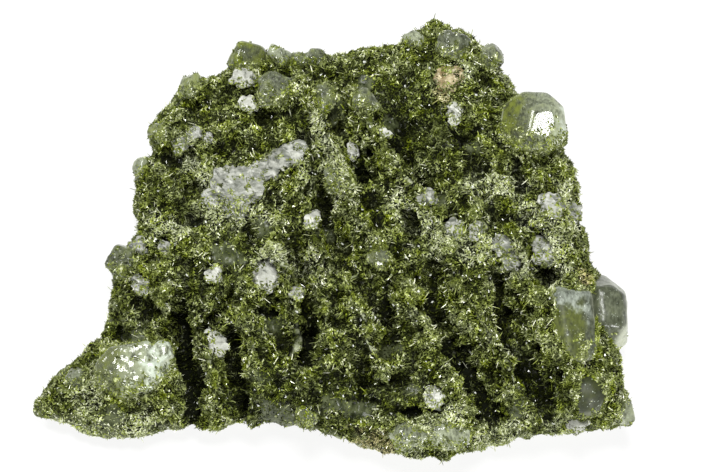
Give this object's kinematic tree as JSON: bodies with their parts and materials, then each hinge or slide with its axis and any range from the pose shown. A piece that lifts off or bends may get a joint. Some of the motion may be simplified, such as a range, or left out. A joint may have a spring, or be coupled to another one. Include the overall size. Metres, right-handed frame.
{
  "type": "quartz on epidote specimen",
  "caption": "Hand specimen of green epidote crust on rock, with clear quartz crystals grown in its edges and milky quartz showing through, lying on a flat broken back.",
  "frame": {"origin": "middle of the flat back, below the centre of the bounding box", "axes": "+X along the plate towards the end with the crystal pair, +Y towards the narrow upper edge, +Z out of the crust, away from the flat back"},
  "size_m": [0.1, 0.0766, 0.0209],
  "materials": {
    "epidote": "crust of small glassy needles",
    "clear_quartz": "polished crystal faces with green inclusions",
    "milky_quartz": "cloudy, broken",
    "stained_quartz": "dull, iron stained"
  },
  "bodies": {
    "root": {"epidote_matrix": "epidote", "quartz_upper_right": "clear_quartz", "quartz_right_pair": "clear_quartz", "quartz_lower_left": "clear_quartz", "quartz_lower_right": "clear_quartz", "quartz_corner_nub": "clear_quartz", "quartz_top_left_dome": "clear_quartz", "quartz_top_left_blue": "clear_quartz", "quartz_top_left_band": "clear_quartz", "quartz_left_shoulder": "clear_quartz", "quartz_left_brow": "clear_quartz", "quartz_left_nub": "clear_quartz", "quartz_left_lobe": "clear_quartz", "milky_vein": "milky_quartz", "milky_centre": "milky_quartz", "milky_sliver_lower_left": "milky_quartz", "milky_fleck_centre": "milky_quartz", "milky_upper_right": "milky_quartz", "milky_upper_left": "milky_quartz", "milky_top_left": "milky_quartz", "quartz_grey_upper_left": "clear_quartz", "quartz_grey_upper_middle": "clear_quartz", "quartz_green_upper_middle": "clear_quartz", "quartz_top_middle": "clear_quartz", "quartz_top_right": "clear_quartz", "quartz_right_shoulder": "clear_quartz", "stained_quartz": "stained_quartz", "quartz_front": "clear_quartz", "quartz_grey_front_left": "clear_quartz", "quartz_grey_ridge": "clear_quartz", "quartz_grey_centre": "clear_quartz", "milky_front": "milky_quartz", "milky_front_edge": "milky_quartz", "milky_middle_right": "milky_quartz", "milky_fleck_right": "milky_quartz", "milky_slip_right": "milky_quartz", "milky_right_inner": "milky_quartz", "milky_right_lower": "milky_quartz", "milky_right_upper": "milky_quartz", "milky_right_edge": "milky_quartz", "milky_fleck_left_of_middle": "milky_quartz", "milky_sliver_furrow": "milky_quartz", "milky_fleck_top": "milky_quartz", "milky_facet_left": "milky_quartz", "milky_left_edge": "milky_quartz", "milky_left_lower": "milky_quartz", "milky_fleck_left": "milky_quartz", "milky_upper_left_fleck": "milky_quartz", "milky_left_streak": "milky_quartz", "milky_left_streak_upper": "milky_quartz", "quartz_wing": "clear_quartz"}
  },
  "joints": []
}
